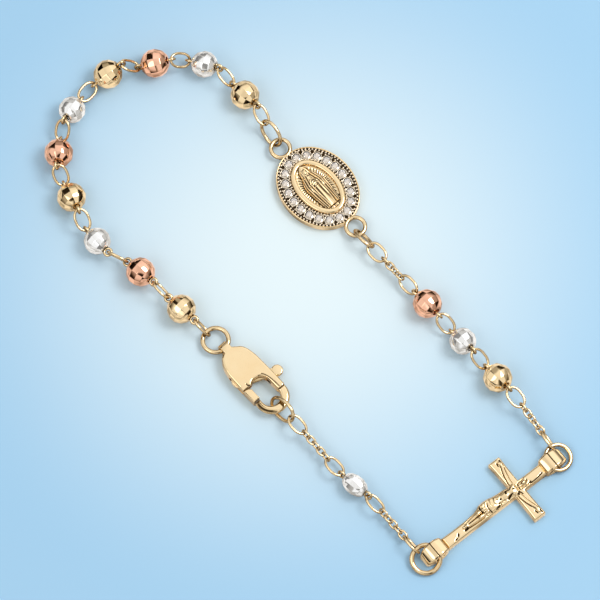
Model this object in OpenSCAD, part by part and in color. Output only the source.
// Rosary bracelet, laid flat in an open loop.
// Diamond-cut balls on eye pins, oval links, twisted chain, a stone-set oval medal,
// a sideways crucifix and a lobster clasp. Millimetres, +Z up, resting on Z = 0.

/* [Balls] */
// Diameter of the yellow and rose gold balls
ball_d = 3.95; // [3.6:0.05:4.2]
// Diameter of the white gold balls
white_ball_d = 3.65; // [3.4:0.05:3.9]
// Length of the long ball
long_ball_l = 3.9; // [3.6:0.05:4.1]
// Thickness of the long ball
long_ball_d = 2.7; // [2.5:0.05:2.9]
// Facets round a ball
ball_sides = 12; // [10:2:16]
// Rows of facets between the two flat ends
ball_rows = 5; // [4:1:6]
// Wall of a hollow ball
ball_wall = 0.5; // [0.4:0.05:0.7]
// Drilled hole through a ball
ball_bore = 1.05; // [1:0.05:1.2]

/* [Eye pins] */
// Wire of the pin through a ball
pin_wire = 0.36; // [0.3:0.02:0.4]
// Wire of the eye at each end of the pin
eye_wire = 0.3; // [0.28:0.01:0.32]
// Outside diameter of an eye
eye_d = 1.34; // [1.3:0.02:1.36]
// Distance from the ball's end facet to the middle of the eye
eye_reach = 0.54; // [0.52:0.01:0.56]

/* [Links] */
// Length of an oval link
oval_l = 3.34; // [3.32:0.01:3.38]
// Width of an oval link
oval_w = 2.2; // [2.1:0.05:2.3]
// Wire of an oval link
oval_wire = 0.36; // [0.32:0.02:0.38]
// Length of a small chain link
small_l = 1.66; // [1.64:0.02:1.7]
// Width of a small chain link
small_w = 1.2; // [1.15:0.05:1.25]
// Wire of a small chain link
small_wire = 0.28; // [0.26:0.02:0.3]
// Wire of the round jump rings
ring_wire = 0.62; // [0.55:0.01:0.65]
// Wire of the oval jump rings
oval_ring_wire = 0.48; // [0.45:0.01:0.5]

/* [Medal] */
// Length of the oval medal
medal_l = 12.5; // [12:0.1:13]
// Width of the oval medal
medal_w = 10.1; // [9.8:0.1:10.4]
// Thickness at the inner bezel
medal_t = 1.6; // [1.5:0.05:1.8]
// Number of set stones
stones = 20; // [18:1:20]
// Diameter of a set stone
stone_d = 1.2; // [1.1:0.02:1.22]

/* [Crucifix] */
// Span of the cross arms
arm_span = 9.9; // [9:0.1:10.5]
// Thickness of the cross
cross_t = 1.25; // [1.1:0.05:1.4]

/* [Clasp] */
// Width of the clasp
clasp_w = 4.8; // [4.7:0.05:4.9]
// Thickness of the clasp
clasp_t = 2; // [1.9:0.05:2.1]
// Diameter of the lever's pivot pin
pivot_d = 0.6; // [0.55:0.05:0.65]

/* [Hidden] */
GOLD = "#e3c07f";
ROSE = "#e29a80";
WHITE = "#eceae8";
CLEAR = "#f4f4f8";

// The drawing is centred on the floor by this shift
shift = [-1, 1.82, 0];
// Smallest space left between two wires that hold each other
play = 0.1;

// Where each ball of the long run lies, from the clasp ring to the medal
// columns: metal, x, y, lean of the pin (positive: the far eye is raised)
RUN = [
    ["gold", -15.1, -2.4, 0],
    ["rose", -20.5, 2.4, -8],
    ["white", -26.4, 7.3, -6],
    ["gold", -30.8, 14.0, -18],
    ["rose", -32.3, 19.8, -26],
    ["white", -29.3, 27.2, -22],
    ["gold", -25.8, 30.5, 26],
    ["rose", -20.0, 32.6, 20],
    ["white", -12.8, 32.1, 16],
    ["gold", -7.5, 28.0, 12]
];
// Roll of the link before each ball, and of the one after the last
RUN_ROLLS = [62, 58, 78, 4, -10, -16, 24, -20, 26, -28, -26];

// The three balls between the medal and the cross, same columns
SIDE = [
    ["rose", 16.95, -1.15, 10],
    ["white", 22.0, -6.7, 22],
    ["gold", 26.25, -11.5, 18]
];
SIDE_ROLLS = [18, -10];

// The long ball between the cross and the clasp: metal, x, y, lean, heading
LONG = ["white", 7.26, -26.17, 0, 140];

// Places and headings of the large pieces
medal_at = [2.4, 15.5, 0];
medal_heading = -47.7;
cross_at = [28.7, -26.6, 0];
cross_heading = 38.6;
clasp_at = [-10.53, -6.51, 0];
clasp_heading = -47.6;

// Directions and frames
function aim(heading, rise) =
    [cos(rise) * cos(heading), cos(rise) * sin(heading), sin(rise)];
function unit(v) = v / norm(v);
function flat(v) = [v.x, v.y, 0];
function heading_of(v) = atan2(v.y, v.x);
function rise_of(v) = asin(v.z / norm(v));
function side_axis(d, roll) =
    let (y0 = aim(heading_of(d) + 90, 0), z0 = cross(d, y0))
    y0 * cos(roll) + z0 * sin(roll);

// A loop of wire: [centre, long direction, roll, centreline length, centreline width, wire]
function loop(at, d, roll, l, w, wire) = [at, d, roll, l - wire, w - wire, wire];
function tip(lp, end) = lp[0] + end * lp[1] * lp[3] / 2;
// Point where another wire hooks inside a round loop, at an angle from its long direction
function hook_in(lp, angle, wire, room = 0) =
    lp[0] + (lp[3] / 2 - lp[5] / 2 - wire / 2 - play - room)
        * (cos(angle) * lp[1] + sin(angle) * side_axis(lp[1], lp[2]));

// Balls: radius, half length, flat end and reach of the eye
function ball_r(metal) = (metal == "white" ? white_ball_d : ball_d) / 2;
function ball_flat(r) = 0.89 * r;
function reach_of(metal) = ball_flat(ball_r(metal)) + eye_reach;
long_reach = 0.87 * long_ball_l / 2 + eye_reach;

// Balls are nudged along the table until each link spans its two eyes exactly
oval_span = oval_l - oval_wire;
function centre_of(row) = [row[1], row[2], ball_r(row[0])];
function way(points, i) = heading_of(flat(points[i + 2] - points[i]));
function axes_of(rows, first, last) =
    let (points = concat([first], [for (row = rows) centre_of(row)], [last]))
    [for (i = [0 : len(rows) - 1]) aim(way(points, i), rows[i][3])];
function miss(a, b) =
    let (d = b - a, run = norm(flat(d)), want = sqrt(max(0.1, oval_span ^ 2 - d.z ^ 2)))
    (run - want) * flat(d) / run;
function settle(rows, axes, centres, first, last, turns) =
    turns == 0 ? centres :
    let (
        n = len(rows),
        nose = [for (i = [0 : n - 1]) centres[i] + reach_of(rows[i][0]) * axes[i]],
        tail = [for (i = [0 : n - 1]) centres[i] - reach_of(rows[i][0]) * axes[i]],
        gaps = [for (i = [0 : n])
            miss(i == 0 ? first : nose[i - 1], i == n ? last : tail[i])]
    )
    settle(rows, axes, [for (i = [0 : n - 1]) centres[i] - (gaps[i] - gaps[i + 1]) / 2],
        first, last, turns - 1);

// The clasp, the ring in its eye and the medal set where the long run starts and ends
clasp_eye_u = 0.8;
clasp_eye_d = 1.05;
clasp_z = clasp_t / 2;
function on_clasp(u, v, z) =
    clasp_at + u * aim(clasp_heading, 0) + v * aim(clasp_heading + 90, 0) + [0, 0, z];
clasp_ring_d = 4.07;
clasp_ring_aim = aim(136, -4);
clasp_ring = loop(
    on_clasp(clasp_eye_u, 0, clasp_z) + clasp_ring_aim * (clasp_ring_d - ring_wire) / 2,
    clasp_ring_aim, 0, clasp_ring_d, clasp_ring_d, ring_wire);

medal_loop_u = 7.45;
medal_loop_d = 3.13;
medal_loop_wire = 0.56;
medal_loop_z = 1;
medal_hook = (medal_loop_d - 2 * medal_loop_wire - oval_ring_wire) / 2 - 2 * play;
function medal_eye(side) =
    medal_at + side * medal_loop_u * aim(medal_heading, 0) + [0, 0, medal_loop_z];

upper_ring_l = 4.2;
upper_ring_w = 3.1;
upper_ring_aim = aim(123, 20);
upper_ring = loop(
    medal_eye(-1) + medal_hook * aim(123, 0) + upper_ring_aim * (upper_ring_l - oval_ring_wire) / 2,
    upper_ring_aim, -58, upper_ring_l, upper_ring_w, oval_ring_wire);

lower_ring_l = 3.9;
lower_ring_w = 2.7;
lower_ring_aim = aim(-52, 16);
lower_ring = loop(
    medal_eye(1) + medal_hook * aim(-78, 0) + lower_ring_aim * (lower_ring_l - oval_ring_wire) / 2,
    lower_ring_aim, -60, lower_ring_l, lower_ring_w, oval_ring_wire);

function hook_end(lp) = tip(lp, 1) - lp[1] * (lp[5] / 2 + oval_wire / 2 + play);

run_first = hook_in(clasp_ring, 0, oval_wire) - [0, 0, 0.2];
run_last = hook_end(upper_ring);
run_axes = axes_of(RUN, run_first, run_last);
run_at = settle(RUN, run_axes, [for (row = RUN) centre_of(row)], run_first, run_last, 160);

// The side run keeps its end balls and settles the middle one
side_ends = [centre_of(SIDE[0]), centre_of(SIDE[2])];
side_axes = axes_of(SIDE, side_ends[0] - aim(-50, 0), side_ends[1] + aim(-50, 0));
side_nose = side_ends[0] + reach_of(SIDE[0][0]) * side_axes[0];
side_tail = side_ends[1] - reach_of(SIDE[2][0]) * side_axes[2];
side_mid = settle([SIDE[1]], [side_axes[1]], [centre_of(SIDE[1])], side_nose, side_tail, 60);
side_at = [side_ends[0], side_mid[0], side_ends[1]];

long_axis = aim(LONG[4], LONG[3]);
long_at = [LONG[1], LONG[2], long_ball_d / 2 + 0.02];

// Every ball: [metal, centre, axis, reach]
BALLS = concat(
    [for (i = [0 : len(RUN) - 1]) [RUN[i][0], run_at[i], run_axes[i], reach_of(RUN[i][0])]],
    [for (i = [0 : 2]) [SIDE[i][0], side_at[i], side_axes[i], reach_of(SIDE[i][0])]],
    [[LONG[0], long_at, long_axis, long_reach]]
);
long_ball = len(BALLS) - 1;
function ball_eye(i, end) = BALLS[i][1] + end * BALLS[i][3] * BALLS[i][2];

// Oval links that join two balls, or a ball and a ring
function span_link(a, b, roll) =
    loop((a + b) / 2, unit(b - a), roll, oval_l, oval_w, oval_wire);
LINKS = concat(
    [for (i = [0 : len(RUN)])
        span_link(i == 0 ? run_first : ball_eye(i - 1, 1),
            i == len(RUN) ? run_last : ball_eye(i, -1), RUN_ROLLS[i])],
    [for (i = [0 : 1])
        span_link(ball_eye(len(RUN) + i, 1), ball_eye(len(RUN) + i + 1, -1), SIDE_ROLLS[i])]
);

// The cross, its two barrel bails and their rings
bail_u = [-14.0, 6.0];
bail_l = 3.4;
bail_w = 1.8;
bail_h = 2.2;
bail_hole_l = 2.3;
bail_hole_h = 1.16;
cross_ring_u = [-15.45, 7.05];
cross_ring_d = [4.38, 4.05];
cross_ring_wire = [0.65, 0.56];
function on_cross(u, v, z) =
    cross_at + u * aim(cross_heading, 0) + v * aim(cross_heading + 90, 0) + [0, 0, z];
function cross_ring(i) =
    loop(on_cross(cross_ring_u[i], 0, 0.85), aim(cross_heading + 180 * (1 - i), -8),
        i == 0 ? -10 : 10,
        cross_ring_d[i], cross_ring_d[i], cross_ring_wire[i]);
foot_ring = cross_ring(0);
head_ring = cross_ring(1);

// The oval ring in the clasp's hook
hook_bar_u = 10.46;
hook_bar_z = [0.84, 1.66];
hook_ring_l = 4.45;
hook_ring_w = 3.3;
hook_ring_aim = aim(clasp_heading + 3, 13);
hook_ring = loop(
    on_clasp(hook_bar_u, -0.3, 1.15) + hook_ring_aim * (hook_ring_l - oval_ring_wire) / 2,
    hook_ring_aim, 58, hook_ring_l, hook_ring_w, oval_ring_wire);

// Twisted chain: an oval link at each end and small links between, laid from a to b
function strand_links(n) = [for (i = [0 : n + 1])
    i == 0 || i == n + 1 ? [oval_l, oval_w, oval_wire] : [small_l, small_w, small_wire]];
function total(v, i = 0) = i == len(v) ? 0 : v[i] + total(v, i + 1);
function along(a, b, t, bow, sag) =
    a + t * (b - a) + 4 * t * (1 - t)
        * (bow * aim(heading_of(b - a) + 90, 0) - [0, 0, sag]);
function strand(a, b, n, bow, sag, roll, turn) =
    let (
        kinds = strand_links(n),
        spans = [for (k = kinds) k[0] - k[2]],
        holds = [for (i = [0 : n]) (kinds[i][2] + kinds[i + 1][2]) / 2],
        length = norm(b - a),
        slack = (total(spans) - total(holds) - length) / (n + 1),
        starts = [for (i = 0, s = 0; i < n + 2;
            s = s + spans[i] - (i <= n ? holds[i] : 0) - slack, i = i + 1) s]
    )
    [for (i = [0 : n + 1])
        let (
            p = along(a, b, starts[i] / length, bow, sag),
            q = along(a, b, (starts[i] + spans[i]) / length, bow, sag)
        )
        loop((p + q) / 2, unit(q - p), roll + i * turn, kinds[i][0], kinds[i][1], kinds[i][2])];

// The four chain lengths: from, to, small links, sideways bow, sag, first roll, turn per link
CHAINS = [
    [hook_end(lower_ring), ball_eye(len(RUN), -1), 4, 0, 0.1, 10, 78],
    [ball_eye(len(RUN) + 2, 1), hook_in(head_ring, 80, oval_wire) + [0, 0, 0.08], 5, 0.1, 0.3, 0, 78.6],
    [hook_in(foot_ring, -80, oval_wire) + [0, 0, 0.1], ball_eye(long_ball, -1), 5, 0, 0.1, 66, 84],
    [ball_eye(long_ball, 1), hook_end(hook_ring), 5, 0, 0.2, 20, 90]
];
STRANDS = [for (c = CHAINS) strand(c[0], c[1], c[2], c[3], c[4], c[5], c[6])];

// Links that pass through the two eyes of each ball
function link_before(i) =
    i < len(RUN) ? LINKS[i] :
    i == len(RUN) ? STRANDS[0][CHAINS[0][2] + 1] :
    i < long_ball ? LINKS[i] : STRANDS[2][CHAINS[2][2] + 1];
function link_after(i) =
    i < len(RUN) ? LINKS[i + 1] :
    i < long_ball - 1 ? LINKS[i + 1] :
    i == long_ball - 1 ? STRANDS[1][0] : STRANDS[3][0];
function eye_normal(lp, axis) =
    let (t = side_axis(lp[1], lp[2]))
    unit(t - (t * axis) * axis);

function two(i) = str(i < 10 ? "0" : "", i);
function ball_name(i) = str("ball_", two(i + 1));
function pin_name(i) = str("eye_pin_", two(i + 1));
function link_name(i) = str("link_", two(i + 1));
CHAIN_NAMES = ["chain_medal", "chain_head", "chain_foot", "chain_clasp"];
RINGS = [
    ["ring_clasp", clasp_ring], ["ring_medal_upper", upper_ring],
    ["ring_medal_lower", lower_ring], ["ring_cross_head", head_ring],
    ["ring_cross_foot", foot_ring], ["ring_hook", hook_ring]
];

module lay(at, d, roll = 0) {
    translate(at + shift) rotate([roll, -rise_of(d), heading_of(d)]) children();
}

module face(at, normal) {
    translate(at + shift) rotate([0, acos(normal.z), heading_of(normal)]) children();
}

// Closed loop of round wire lying in the XY plane
module wire_loop(l, w, wire) {
    end_x = (l - w) / 2;
    for (s = [0, 180]) rotate(s) translate([end_x, 0])
        rotate_extrude(angle = 180, start = -90, $fn = 48)
            translate([w / 2, 0]) circle(d = wire, $fn = 24);
    if (end_x > 0.001)
        for (s = [-1, 1]) translate([-end_x, s * w / 2]) rotate([0, 90, 0])
            cylinder(h = 2 * end_x, d = wire, $fn = 24);
}

module placed_loop(lp) {
    lay(lp[0], lp[1], lp[2]) wire_loop(lp[3], lp[4], lp[5]);
}

// Faceted ball along X: rows of flat facets between two flat ends
module facet_ball(half, r, flat_at) {
    start = acos(flat_at / half);
    step = (180 - 2 * start) / ball_rows;
    rings = [for (j = [0 : ball_rows]) let (a = start + j * step)
        [for (i = [0 : ball_sides - 1]) let (b = (i + 0.5) * 360 / ball_sides)
            [half * cos(a), r * sin(a) * cos(b), r * sin(a) * sin(b)]]];
    points = [for (ring = rings) each ring];
    sides = [for (j = [0 : ball_rows - 1]) for (i = [0 : ball_sides - 1])
        let (k = (i + 1) % ball_sides, m = j * ball_sides)
        [m + i, m + k, m + ball_sides + k, m + ball_sides + i]];
    near = [for (i = [ball_sides - 1 : -1 : 0]) i];
    far = [for (i = [0 : ball_sides - 1]) ball_rows * ball_sides + i];
    polyhedron(points, concat(sides, [near, far]));
}

module ball(i) {
    metal = BALLS[i][0];
    r = i == long_ball ? long_ball_d / 2 : ball_r(metal);
    half = i == long_ball ? long_ball_l / 2 : r;
    end = BALLS[i][3] - eye_reach;
    color(metal == "gold" ? GOLD : metal == "rose" ? ROSE : WHITE)
        lay(BALLS[i][1], BALLS[i][2], 15 * i) difference() {
            facet_ball(half, r, end);
            rotate([0, 90, 0]) rotate_extrude($fn = 48) intersection() {
                union() {
                    circle(r = r - ball_wall, $fn = 48);
                    square([ball_bore, 3 * half], center = true);
                }
                translate([0, -2 * half]) square([r, 4 * half]);
            }
        }
}

module eye_pin(i) {
    at = BALLS[i][1];
    axis = BALLS[i][2];
    reach = BALLS[i][3];
    eye_r = (eye_d - eye_wire) / 2;
    color(GOLD) union() {
        lay(at, axis) rotate([0, 90, 0])
            cylinder(h = 2 * (reach - eye_r), d = pin_wire, center = true, $fn = 24);
        for (end = [-1, 1])
            face(ball_eye(i, end), eye_normal(end < 0 ? link_before(i) : link_after(i), axis))
                rotate_extrude($fn = 48) translate([eye_r, 0]) circle(d = eye_wire, $fn = 24);
    }
}

module link(i) {
    color(GOLD) placed_loop(LINKS[i]);
}

module chain(i) {
    color(GOLD) for (lp = STRANDS[i]) placed_loop(lp);
}

module ring(i) {
    color(GOLD) placed_loop(RINGS[i][1]);
}

// Oval medal: rim, ring of stone seats with prongs, inner bezel and a raised figure
rim_h = 1.25;
rim_wall = 0.35;
seat_top = 1.12;
bezel_l = 8.7;
bezel_w = 5.6;
bezel_wall = 0.5;
field_z = 0.95;
seat_a = (medal_l / 2 - rim_wall + bezel_l / 2) / 2;
seat_b = (medal_w / 2 - rim_wall + bezel_w / 2) / 2;
seat_play = 0.04;
girdle_z = 1.16;

// Even spacing round an ellipse, by stepping its arc length
function arc_steps(a, b, n) = [for (i = 0, s = 0; i <= n;
    s = s + norm([a * sin((i + 0.5) * 360 / n), b * cos((i + 0.5) * 360 / n)]), i = i + 1) s];
function even_angles(a, b, count) =
    let (n = 360, sums = arc_steps(a, b, n), whole = sums[n])
    [for (k = [0 : count - 1]) lookup((k + 0.5) * whole / count,
        [for (i = [0 : n]) [sums[i], i]])];
seat_angles = even_angles(seat_a, seat_b, stones);
prong_angles = [for (k = [0 : stones - 1])
    let (a = seat_angles[k], b = k + 1 < stones ? seat_angles[k + 1] : seat_angles[0] + 360)
    (a + b) / 2];

module oval(l, w, z0, z1) {
    translate([0, 0, z0]) scale([1, w / l, 1]) cylinder(h = z1 - z0, d = l, $fn = 96);
}

module lump(at, size, turn = 0) {
    translate(at) rotate(turn) scale([1, size.y / size.x, size.z / size.x])
        rotate([90, 0, 38]) sphere(r = size.x, $fn = 32);
}

// Veiled figure with joined hands on a low cloud, head toward the upper loop
module medal_figure() {
    base = field_z - 0.06;
    lump([-2.35, 0, base + 0.2], [0.62, 0.5, 0.42]);
    lump([-0.9, 0, base], [1.4, 1.0, 0.56]);
    lump([0.9, 0.45, base], [2.1, 0.62, 0.46], 6);
    lump([0.9, -0.45, base], [2.1, 0.62, 0.46], -6);
    lump([1.0, 0, base], [1.9, 0.5, 0.6]);
    lump([-1.3, 0, base + 0.5], [0.5, 0.16, 0.22]);
    for (s = [-1, 0, 1]) lump([2.85, s * 0.7, base], [0.5, 0.52, 0.4]);
}

module medal_frame() {
    color(GOLD) lay(medal_at, aim(medal_heading, 0)) union() {
        difference() {
            union() {
                oval(medal_l, medal_w, 0, seat_top);
                difference() {
                    oval(medal_l, medal_w, seat_top - 0.2, rim_h);
                    oval(medal_l - 2 * rim_wall, medal_w - 2 * rim_wall, 0, rim_h + 1);
                }
                oval(bezel_l, bezel_w, seat_top - 0.2, medal_t);
            }
            oval(bezel_l - 2 * bezel_wall, bezel_w - 2 * bezel_wall, field_z, medal_t + 1);
            for (a = seat_angles) translate([seat_a * cos(a), seat_b * sin(a), 0.5])
                cylinder(h = 2, d = stone_d + 2 * seat_play, $fn = 32);
        }
        for (a = prong_angles) for (s = [-1, 1])
            translate([(seat_a + s * 0.45) * cos(a), (seat_b + s * 0.5) * sin(a), seat_top - 0.1])
                cylinder(h = 0.32, d = 0.26, $fn = 24);
        medal_figure();
        for (s = [-1, 1]) translate([s * medal_loop_u, 0, medal_loop_z])
            rotate_extrude($fn = 64) translate([(medal_loop_d - medal_loop_wire) / 2, 0])
                circle(d = medal_loop_wire, $fn = 24);
    }
}

// Round brilliant: eight-sided table and crown, thin girdle, eight-sided pavilion
module brilliant(d) {
    n = 8;
    girdle = 0.05;
    levels = [[-0.5, 0.04], [0, 0.5], [girdle, 0.5], [0.26, 0.3]];
    points = [for (j = [0 : 3]) for (i = [0 : n - 1])
        let (a = (i + (j == 3 ? 0.5 : 0)) * 360 / n)
        [d * levels[j][1] * cos(a), d * levels[j][1] * sin(a), d * levels[j][0]]];
    walls = [for (j = [0, 1]) for (i = [0 : n - 1]) let (k = (i + 1) % n, m = j * n)
        [m + i, m + n + i, m + n + k, m + k]];
    crown = [for (i = [0 : n - 1]) let (k = (i + 1) % n)
        each [[2 * n + i, 3 * n + i, 2 * n + k], [2 * n + k, 3 * n + i, 3 * n + k]]];
    under = [for (i = [0 : n - 1]) i];
    table = [for (i = [n - 1 : -1 : 0]) 3 * n + i];
    polyhedron(points, concat(walls, crown, [under, table]));
}

module medal_stones() {
    color(CLEAR) lay(medal_at, aim(medal_heading, 0))
        for (a = seat_angles) translate([seat_a * cos(a), seat_b * sin(a), girdle_z])
            brilliant(stone_d);
}

// Outline of the cross without its bails, drawn in by an inset along its edges
bevel = 0.3;
bevel_h = 0.3;
// columns: place along the bar, half width
STEM = [[-12.6, 0.98], [-10.5, 0.82], [4.0, 0.82], [4.8, 0.98]];
ARMS = [[-0.5, 1.02], [-0.3, 0.86], [0.3, 0.86], [0.5, 1.02]];

module bar_outline(stations, inset) {
    polygon(concat(
        [for (s = stations) [s[0], s[1] - inset]],
        [for (i = [len(stations) - 1 : -1 : 0]) [stations[i][0], inset - stations[i][1]]]));
}

module cross_outline(inset) {
    bar_outline(STEM, inset);
    rotate(90) bar_outline([for (a = ARMS) [a[0] * (arm_span - 2 * inset), a[1]]], inset);
}

module stadium(l, h) {
    for (s = [-1, 1]) translate([s * (l - h) / 2, 0]) circle(d = h, $fn = 48);
    square([l - h, h], center = true);
}

module bail() {
    translate([0, 0, bail_h / 2]) rotate([90, 0, 0])
        linear_extrude(height = bail_w, center = true) difference() {
            stadium(bail_l, bail_h);
            stadium(bail_hole_l, bail_hole_h);
        }
}

// Figure on the cross, seen as low rounded forms: head, trunk, cloth, arms and legs
module corpus() {
    z = cross_t - 0.05;
    lump([0.75, -0.1, z + 0.3], [0.5, 0.42, 0.42]);
    lump([-1.3, 0, z], [1.4, 0.62, 0.46]);
    lump([-0.45, 0, z], [0.55, 0.85, 0.4]);
    lump([-3.2, 0, z], [0.95, 0.68, 0.48]);
    for (s = [-1, 1]) {
        lump([-0.1, s * 1.5, z], [1.15, 0.24, 0.3], s * 76);
        lump([0.3, s * 3.3, z], [1.1, 0.19, 0.26], s * 82);
        lump([-4.8, s * 0.27, z], [1.4, 0.27, 0.4], 0);
        lump([-7.0, s * 0.2, z], [1.4, 0.21, 0.32], 0);
    }
}

module crucifix() {
    color(GOLD) lay(cross_at, aim(cross_heading, 0)) union() {
        linear_extrude(height = cross_t - bevel_h) cross_outline(0);
        translate([0, 0, cross_t - bevel_h - 0.01])
            linear_extrude(height = bevel_h + 0.01) cross_outline(bevel);
        for (u = bail_u) translate([u, 0, 0]) bail();
        corpus();
    }
}

// Lobster clasp, along X from the eye to the hook
hook_u = 10.05;
slot_u = [8.1, 9.9];
slot_r = 1.2;
slot_v = -0.1;
pivot_at = [5.4, -1.6];
chamber_z = [0.58, clasp_t - 0.58];
lever_play = 0.1;
gate_u = [7.18, 9.1];
gate_v = [-clasp_w / 2 + 0.02, -1.36];
window_u = [7.06, 9.26];

module clasp_outline() {
    half = clasp_w / 2;
    polygon([[1.35, -0.9], [1.35, 0.9], [1.9, 1.75], [3.0, 2.25], [4.5, half], [hook_u, half],
        [hook_u, -half], [4.5, -half], [3.0, -2.25], [1.9, -1.75]]);
    translate([hook_u, 0]) circle(r = half, $fn = 64);
}

module clasp_body() {
    color(GOLD) lay(clasp_at, aim(clasp_heading, 0)) union() {
        difference() {
            union() {
                linear_extrude(height = clasp_t) intersection() {
                    clasp_outline();
                    translate([0, -3]) square([hook_u + 0.1, 6]);
                }
                translate([0, 0, hook_bar_z[0]])
                    linear_extrude(height = hook_bar_z[1] - hook_bar_z[0]) clasp_outline();
                translate([clasp_eye_u, 0, clasp_z]) rotate([90, 0, 0])
                    cylinder(h = 1.1, d = 1.62, center = true, $fn = 48);
            }
            translate([0, 0, -1]) linear_extrude(height = clasp_t + 2) {
                for (u = slot_u) translate([u, slot_v]) circle(r = slot_r, $fn = 48);
                translate([slot_u[0], slot_v - slot_r]) square([slot_u[1] - slot_u[0], 2 * slot_r]);
                translate([window_u[0], -3]) square([window_u[1] - window_u[0], 2.2]);
            }
            translate([4.25, -3, chamber_z[0]])
                cube([4.25, 6, chamber_z[1] - chamber_z[0]]);
            translate([clasp_eye_u, 0, clasp_z]) rotate([90, 0, 0])
                cylinder(h = 3, d = clasp_eye_d, center = true, $fn = 48);
        }
        translate([pivot_at.x, pivot_at.y, chamber_z[0] - 0.1])
            cylinder(h = chamber_z[1] - chamber_z[0] + 0.2, d = pivot_d, $fn = 32);
    }
}

thumb_at = [7.75, 3.05];
thumb_r = 0.8;

module clasp_lever() {
    z0 = chamber_z[0] + lever_play;
    z1 = chamber_z[1] - lever_play;
    arm_turn = heading_of(thumb_at - pivot_at);
    color(GOLD) lay(clasp_at, aim(clasp_heading, 0)) difference() {
        union() {
            translate([0, 0, z0]) linear_extrude(height = z1 - z0) {
                translate(pivot_at) circle(r = 1.05, $fn = 48);
                translate(thumb_at) circle(r = thumb_r, $fn = 48);
                translate(pivot_at) rotate(arm_turn) translate([0, -0.5])
                    square([norm(thumb_at - pivot_at), 1]);
                translate([pivot_at.x, -2.35]) square([2.3, 0.95]);
            }
            translate([0, 0, 0.08]) linear_extrude(height = clasp_t - 0.16)
                polygon([[gate_u[0], gate_v[0]], [gate_u[1], gate_v[0]], [gate_u[1], gate_v[1]],
                    [7.9, gate_v[1]], [7.3, -1.75]]);
        }
        translate([pivot_at.x, pivot_at.y, 0])
            cylinder(h = clasp_t, d = pivot_d + 0.08, $fn = 32);
    }
}

for (i = [0 : len(BALLS) - 1]) ball(i);
for (i = [0 : len(BALLS) - 1]) eye_pin(i);
for (i = [0 : len(LINKS) - 1]) link(i);
for (i = [0 : len(STRANDS) - 1]) chain(i);
for (i = [0 : len(RINGS) - 1]) ring(i);
medal_frame();
medal_stones();
crucifix();  // cross
clasp_body();
clasp_lever();
